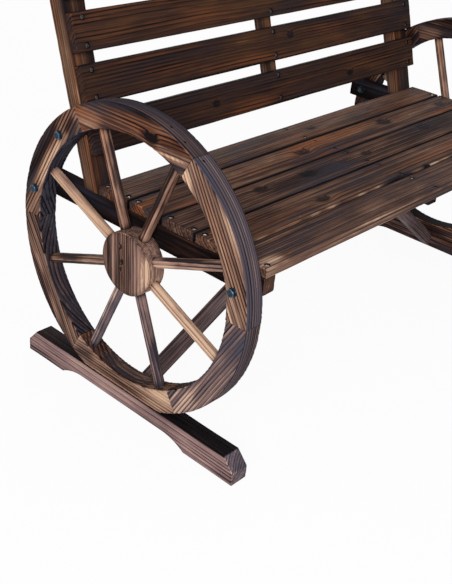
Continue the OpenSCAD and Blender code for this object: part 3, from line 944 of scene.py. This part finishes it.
def make_brace(side):
    low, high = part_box("left_brace")
    run, foot_z, head_z = high.x - low.x, low.z, SLAT_Z - 24 * MM
    foot_y, head_y = WHEEL.y - 9 * MM, WHEEL.y - 66 * MM
    slope = (head_z - foot_z) / run
    yaw = math.atan2(head_y - foot_y, run)
    pitch = math.atan2(head_z - foot_z, math.hypot(run, head_y - foot_y))
    deep = 29 * MM / math.cos(pitch)
    wide = 20 * MM / math.cos(yaw)

    def place(p):
        x = p[:, 0] + run / 2
        bottom = foot_z + x * slope
        top = np.minimum(bottom + deep, SLAT_Z)
        y = foot_y + x * math.tan(yaw) + p[:, 2]
        return np.stack([-SIDES[side] * (low.x + x), y, between(p, deep, bottom, top)], 1)

    way = (-SIDES[side] * math.cos(pitch), math.sin(yaw), math.sin(pitch))
    timber(f"{side}_brace", "brace_wood", (run, deep, wide), place,
           Grain(way, BACKWARD, 85, (15, -50), (0.05, -0.2, 0.7)), steps=(12, 5, 5),
           cuts=((SLAT_Z - deep - foot_z) / slope - run / 2,))


class BENCH_OT_seat_frame(Maker):
    """Makes the side rails, the middle bearer and the braces"""

    bl_idname = "bench.seat_frame"
    bl_label = "Seat frame"

    def execute(self, context):
        for side in SIDES:
            make_rail(side)
        node = "middle_bearer"
        timber(node, "rail_wood", extent(node), lambda p: p + np.array(middle(node)),
               Grain(BACKWARD, ALONG, 83, (20, -50), (0.1, 0.2, 0.4)), steps=(5, 14, 5))
        for side in SIDES:
            make_brace(side)
        return {"FINISHED"}


def lean_back(x, back, up):
    """From the back's own frame (along the bench, square to the posts' front, up along it)."""
    y = POST_FOOT.y + back * math.cos(LEAN) + up * math.sin(LEAN)
    z = POST_FOOT.z - back * math.sin(LEAN) + up * math.cos(LEAN)
    return np.stack([x, y, z], 1)


def slat_up(i):
    """Height of a back slat's middle in the back's own frame."""
    return BACK_START + i * BACK_PITCH + BACK_WIDE / 2


class BENCH_OT_back(Maker):
    """Makes the five back slats"""

    bl_idname = "bench.back"
    bl_label = "Back slats"

    def execute(self, context):
        for i, (tone, knots) in enumerate(BACK_LOOKS):
            timber(
                f"back_slat_{i + 1}", "back_wood", (BACK_LONG, BACK_WIDE, SLAT_T),
                lambda p, up=slat_up(i): lean_back(p[:, 0], -SLAT_T / 2 - p[:, 2], up + p[:, 1]),
                Grain(ALONG, UP_BACK, 90 + i, (60, -50), tone, knots),
                char=lambda p, half, on_low, on_high: 0.3 * (on_low | on_high)[:, 1],
                holes=slat_holes(BACK_LONG, BACK_WIDE, "left_post"),
            )
        return {"FINISHED"}


def make_post(side):
    low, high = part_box("left_post")
    wide, deep, long = high.x - low.x, 31 * MM, (high.z - low.z) / math.cos(LEAN)
    x_mid = SIDES[side] * abs(low.x + high.x) / 2
    fade = 0.08 if side == "left" else 0.05

    def place(p):
        back = p[:, 1] + deep / 2
        foot = back * math.tan(LEAN)
        return lean_back(x_mid + p[:, 0], back, foot + (p[:, 2] / long + 0.5) * (long - foot))

    def char(p, half, on_low, on_high):
        low_half = np.clip(0.6 - p[:, 2] / half[2], 0, 1)
        return 0.28 * on_low[:, 1] - fade * low_half * on_low[:, 0]

    timber(f"{side}_post", "post_wood", (wide, deep, long), place,
           Grain(UP_BACK, ALONG, 111, (20, -50), (0.0, 0.6, 0.8)), char=char, steps=(5, 5, 12))


class BENCH_OT_back_frame(Maker):
    """Makes the two posts and the middle stile"""

    bl_idname = "bench.back_frame"
    bl_label = "Posts and stile"

    def execute(self, context):
        for side in SIDES:
            make_post(side)
        stile, stile_up = (32 * MM, 18 * MM, 390 * MM), 269 * MM
        timber("middle_stile", "post_wood", stile,
               lambda p: lean_back(p[:, 0], p[:, 1] + stile[1] / 2, p[:, 2] + stile_up),
               Grain(UP_BACK, ALONG, 113, (20, -50), (0.05, 0.6, 0.8)), steps=(5, 5, 12))
        return {"FINISHED"}


# ---- fasteners ----


def merged(node, look, parts, painted_glint=()):
    """One piece of several small meshes; painted_glint gives each one's share of painted highlight, or that
    of its points.
    """
    faces, total = [], 0
    for points, own_faces in parts:
        faces += [tuple(i + total for i in face) for face in own_faces]
        total += len(points)
    points = np.concatenate([points for points, _ in parts])
    made = {}
    if painted_glint:
        made["painted_glint"] = np.concatenate([np.broadcast_to(b, len(p)) for b, (p, _) in zip(painted_glint, parts)])
    add_piece(node, look, points, faces, made, sharp=30)


def hex_head(across, height):
    """A bolt head with chamfered corners and a hollow top, standing on zero, and the points of its painted
    highlight ring.
    """
    r, dish = across / 2, 0.4 * MM
    points, faces = turned([
        (0.0, r, 1.0, 0.0), (height * 0.45, r, 1.0, 0.0), (height * 0.92, r, 1.0, 0.55), (height, r * 0.93),
        (height, r * 0.84), (height, r * 0.6), (height - dish, r * 0.5), (height - dish, r * 0.2),
    ], 48)
    reach = np.hypot(points[:, 0], points[:, 1])
    return (points, faces), 1.0 * ((reach > r * 0.9) & (points[:, 2] > height * 0.8))


def ring_of(inner, outer, height):
    """A washer with rounded edges, standing on zero."""
    soft = 0.35 * MM
    return turned([
        (0.0, inner + soft), (0.0, outer - soft), (soft, outer), (height - soft, outer),
        (height, outer - soft), (height, inner + soft), (height - soft, inner), (soft, inner),
    ], 40, hollow=True)


def nut_of(across, inner, height):
    """A nut with chamfered corners on both faces, standing on zero."""
    r = across / 2
    return turned([
        (0.0, inner), (0.0, r * 0.93), (height * 0.08, r, 1.0, -0.55), (height * 0.92, r, 1.0, 0.55),
        (height, r * 0.93), (height, inner + 0.4 * MM), (height - 0.5 * MM, inner),
    ], 48, hollow=True)


def thread(radius, end):
    """A bolt's shank from zero to end, with thread ridges near its end."""
    pitch, height = 1.25 * MM, end - 9 * MM
    rings = [(0.0, radius)]
    while height < end - 1.2 * MM:
        rings += [(height, radius), (height + pitch / 2, radius - 0.55 * MM)]
        height += pitch
    return turned(rings + [(end - 0.8 * MM, radius), (end, radius - 0.9 * MM)], 24)


class BENCH_OT_bolts(Maker):
    """Makes the hexagon bolts, washers and nuts that hold the rails and posts to the rims"""

    bl_idname = "bench.bolts"
    bl_label = "Bolts"

    def execute(self, context):
        low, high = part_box("rail_bolts")
        rail, post = (low + high) / 2, middle("post_bolts")
        rail_ys = (low.y + NUT_ACROSS / 2, high.y - NUT_ACROSS / 2)
        spots = [("rail_bolts", y, rail.z, RIM_T + extent("left_rail").x) for y in rail_ys]
        spots.append(("post_bolts", post.y, post.z, RIM_T + extent("left_post").x))
        bore = BOLT_R + 0.15 * MM
        head, rubbed_and_glint = hex_head(NUT_ACROSS, HEAD_H)
        washer, nut = ring_of(bore, 8 * MM, WASHER_T), nut_of(NUT_ACROSS, bore, NUT_H)
        face = WHEEL_X + RIM_T / 2
        made = {"rail_bolts": [], "post_bolts": [], "bolt_washers": [], "bolt_nuts": []}
        for sign in SIDES.values():
            for node, y, z, wood in spots:
                shank = thread(BOLT_R, wood + 2 * WASHER_T + NUT_H + BOLT_OUT)
                # Each part's node, mesh, distance of its seat from the rim's outer face, and way it points
                for key, (points, faces), seat, way in (
                    (node, head, WASHER_T, sign), (node, shank, WASHER_T, -sign),
                    ("bolt_washers", washer, 0.0, sign), ("bolt_washers", washer, -wood, -sign),
                    ("bolt_nuts", nut, -wood - WASHER_T, -sign),
                ):
                    start = (sign * (face + seat), y, z)
                    made[key].append((turn_to(points, start, (way, 0, 0), (0, way, 0)), faces))
        for node, parts in made.items():
            # The nuts get the darkened steel: painted shade
            look = "black_steel" if node == "bolt_nuts" else "blued_steel"
            # The rims of the bolt heads get a painted highlight
            painted_glint = [rubbed_and_glint, 0] * (len(parts) // 2) if node.endswith("_bolts") else ()
            merged(node, look, parts, painted_glint)
        return {"FINISHED"}


def screw_mesh():
    """A slat screw whose head seat is at zero, pointing down, with a cross in its head."""
    head_r = 4 * MM
    rings = [
        (-23 * MM, 0.3 * MM), (-19 * MM, 1.9 * MM), (-3 * MM, 2 * MM), (0.0, 3.6 * MM), (0.9 * MM, head_r),
        (1.5 * MM, head_r * 0.97), (1.85 * MM, head_r * 0.8),
    ]
    rings += [(SCREW_HEAD_H, head_r * share) for share in (0.62, 0.5, 0.4, 0.3, 0.2, 0.1)]
    points, faces = turned(rings, 32)
    across, along = np.sort(np.abs(points[:, :2]), 1).T
    in_cross = (points[:, 2] > SCREW_HEAD_H - 0.01 * MM) & (across < 0.75 * MM) & (along < 2.3 * MM)
    points[in_cross, 2] -= 1.1 * MM
    return points, faces


class BENCH_OT_screws(Maker):
    """Makes the sunk screws of the seat and the back, and finishes the hidden screws and dowels"""

    bl_idname = "bench.screws"
    bl_label = "Screws"

    def execute(self, context):
        points, faces = screw_mesh()
        sunk = SCREW_SUNK + SCREW_HEAD_H
        seat, back, painted_glint = [], [], []

        def spun(turn):
            return points @ np.array(Matrix.Rotation(turn, 3, "Z")).T

        for i in range(SLATS):
            node = f"seat_slat_{i + 1}"
            centre, size = middle(node), extent(node)
            for n, (x, y) in enumerate(slat_holes(size.x, size.y, "left_rail")):
                place = [centre.x + x, centre.y + y, SEAT_Z - sunk]
                seat.append((spun(0.7 * (n + 2 * i)) + place, faces))
                # The screws at the slat ends get a painted glint
                painted_glint.append(abs(x) > 0)
            for n, (x, y) in enumerate(slat_holes(BACK_LONG, BACK_WIDE, "left_post")):
                own = spun(0.9 * (n + 3 * i))
                own = lean_back(own[:, 0] + x, -SLAT_T + sunk - own[:, 2], own[:, 1] + slat_up(i) + y)
                back.append((own, faces))
        merged("seat_screws", "zinc_steel", seat, painted_glint)
        merged("back_screws", "zinc_steel", back)
        looks = {"brace_screws": "zinc_steel", "skid_screws": "zinc_steel", "felloe_dowels": "dowel_wood"}
        for node, look in looks.items():
            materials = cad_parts[node].data.materials
            materials.clear()
            materials.append(bpy.data.materials[look])
        return {"FINISHED"}


# ---- the stage ----


def seen(f):
    """1 for the camera's rays and for those that metal or glass send on, 0 for the light on the bench."""
    ray = f.node("LightPath", out="Is Camera Ray")
    return f.clamp(ray + f.also(ray, "Is Glossy Ray") + f.also(ray, "Is Transmission Ray"))


def make_floor(scene):
    f = Finish(bpy.data.materials.new("studio_floor"))
    matt = f.node("BsdfDiffuse", {"Color": (*scene.bench_colours.floor, 1)})
    white = f.node("Emission", {"Color": (1, 1, 1, 1), "Strength": 1.0})
    both = f.node("MixShader", {0: seen(f) * 0.94, 1: matt, 2: white})
    f.node("OutputMaterial", {"Surface": both})
    mesh = bpy.data.meshes.new("studio_floor")
    mesh.from_pydata([(-20, -20, 0), (20, -20, 0), (20, 20, 0), (-20, 20, 0)], [], [(0, 1, 2, 3)])
    mesh.materials.append(f.owner)
    floor = linked("studio_floor", mesh)
    floor.location.z = -0.2 * MM

    scene.world = bpy.data.worlds.new("studio")
    f = Finish(scene.world)
    sky = f.node("Background", {"Color": (1, 1, 1, 1), "Strength": 0.32 + seen(f) * 0.68})
    f.node("OutputWorld", {"Surface": sky})


def make_lamps():
    aim = Vector((0, 0, 0.35))
    for name, place, size, power in (
        ("key", (-3.0, -1.9, 1.9), 1.8, 112),
        ("top", (0.6, -0.2, 3.0), 2.0, 13),
        ("rear", (2.4, 2.6, 2.0), 2.0, 30),
    ):
        lamp = bpy.data.lights.new(name, "AREA")
        lamp.shape = "DISK"
        lamp.size = size
        lamp.energy = power
        made = linked(name, lamp)
        made.location = place
        made.rotation_euler = (aim - made.location).to_track_quat("-Z", "Y").to_euler()


def make_camera(scene):
    """The photograph's camera: focal length and centre in its pixels, turn, tilt and roll in degrees."""
    wide, tall = 452, 584
    focal, centre_x, centre_y = 941.70, 212.20, 305.93
    turn, tilt, roll = (math.radians(v) for v in (-49.548, -30.613, 5.367))
    data = bpy.data.cameras.new("camera")
    data.sensor_width = 36
    data.lens = focal * data.sensor_width / tall
    data.shift_x = (wide / 2 - centre_x) / tall
    data.shift_y = (centre_y - tall / 2) / tall
    data.clip_start, data.clip_end = 0.05, 60
    scene.camera = linked("camera", data)
    scene.camera.matrix_world = (
        Matrix.Translation((-1.4881, -1.0223, 1.0570)) @ Matrix.Rotation(turn, 4, "Z")
        @ Matrix.Rotation(tilt + math.pi / 2, 4, "X") @ Matrix.Rotation(roll, 4, "Z")
    )


class BENCH_OT_stage(Maker):
    """Makes the floor, the studio light and the camera"""

    bl_idname = "bench.stage"
    bl_label = "Stage"

    def execute(self, context):
        scene = context.scene
        scene.view_settings.view_transform = "Standard"
        make_floor(scene)
        make_lamps()
        make_camera(scene)
        return {"FINISHED"}


class BENCH_PT_panel(bpy.types.Panel):
    """Lists the steps that make the bench, with its sizes and colours"""

    bl_idname = "BENCH_PT_panel"
    bl_label = "Wagon wheel bench"
    bl_space_type = "VIEW_3D"
    bl_region_type = "UI"
    bl_category = "Bench"

    def draw(self, context):
        for group in (context.scene.bench_sizes, context.scene.bench_colours):
            box = self.layout.box()
            for key in group.__annotations__:
                box.prop(group, key)
        for step in STEPS:
            self.layout.operator(step.bl_idname)


STEPS = (
    BENCH_OT_finishes, BENCH_OT_rims, BENCH_OT_spokes, BENCH_OT_hubs, BENCH_OT_skids, BENCH_OT_seat,
    BENCH_OT_seat_frame, BENCH_OT_back, BENCH_OT_back_frame, BENCH_OT_bolts, BENCH_OT_screws,
    BENCH_OT_stage,
)
CLASSES = (BenchSizes, BenchColours, *STEPS, BENCH_PT_panel)


def register():
    for item in CLASSES:
        bpy.utils.register_class(item)
    bpy.types.Scene.bench_sizes = PointerProperty(type=BenchSizes)
    bpy.types.Scene.bench_colours = PointerProperty(type=BenchColours)


def unregister():
    del bpy.types.Scene.bench_colours
    del bpy.types.Scene.bench_sizes
    for item in reversed(CLASSES):
        bpy.utils.unregister_class(item)


def main():
    register()
    for step in STEPS:
        group, name = step.bl_idname.split(".")
        if getattr(getattr(bpy.ops, group), name)() != {"FINISHED"}:
            raise RuntimeError(f"{step.bl_idname} didn't finish")


if __name__ == "__main__":
    main()
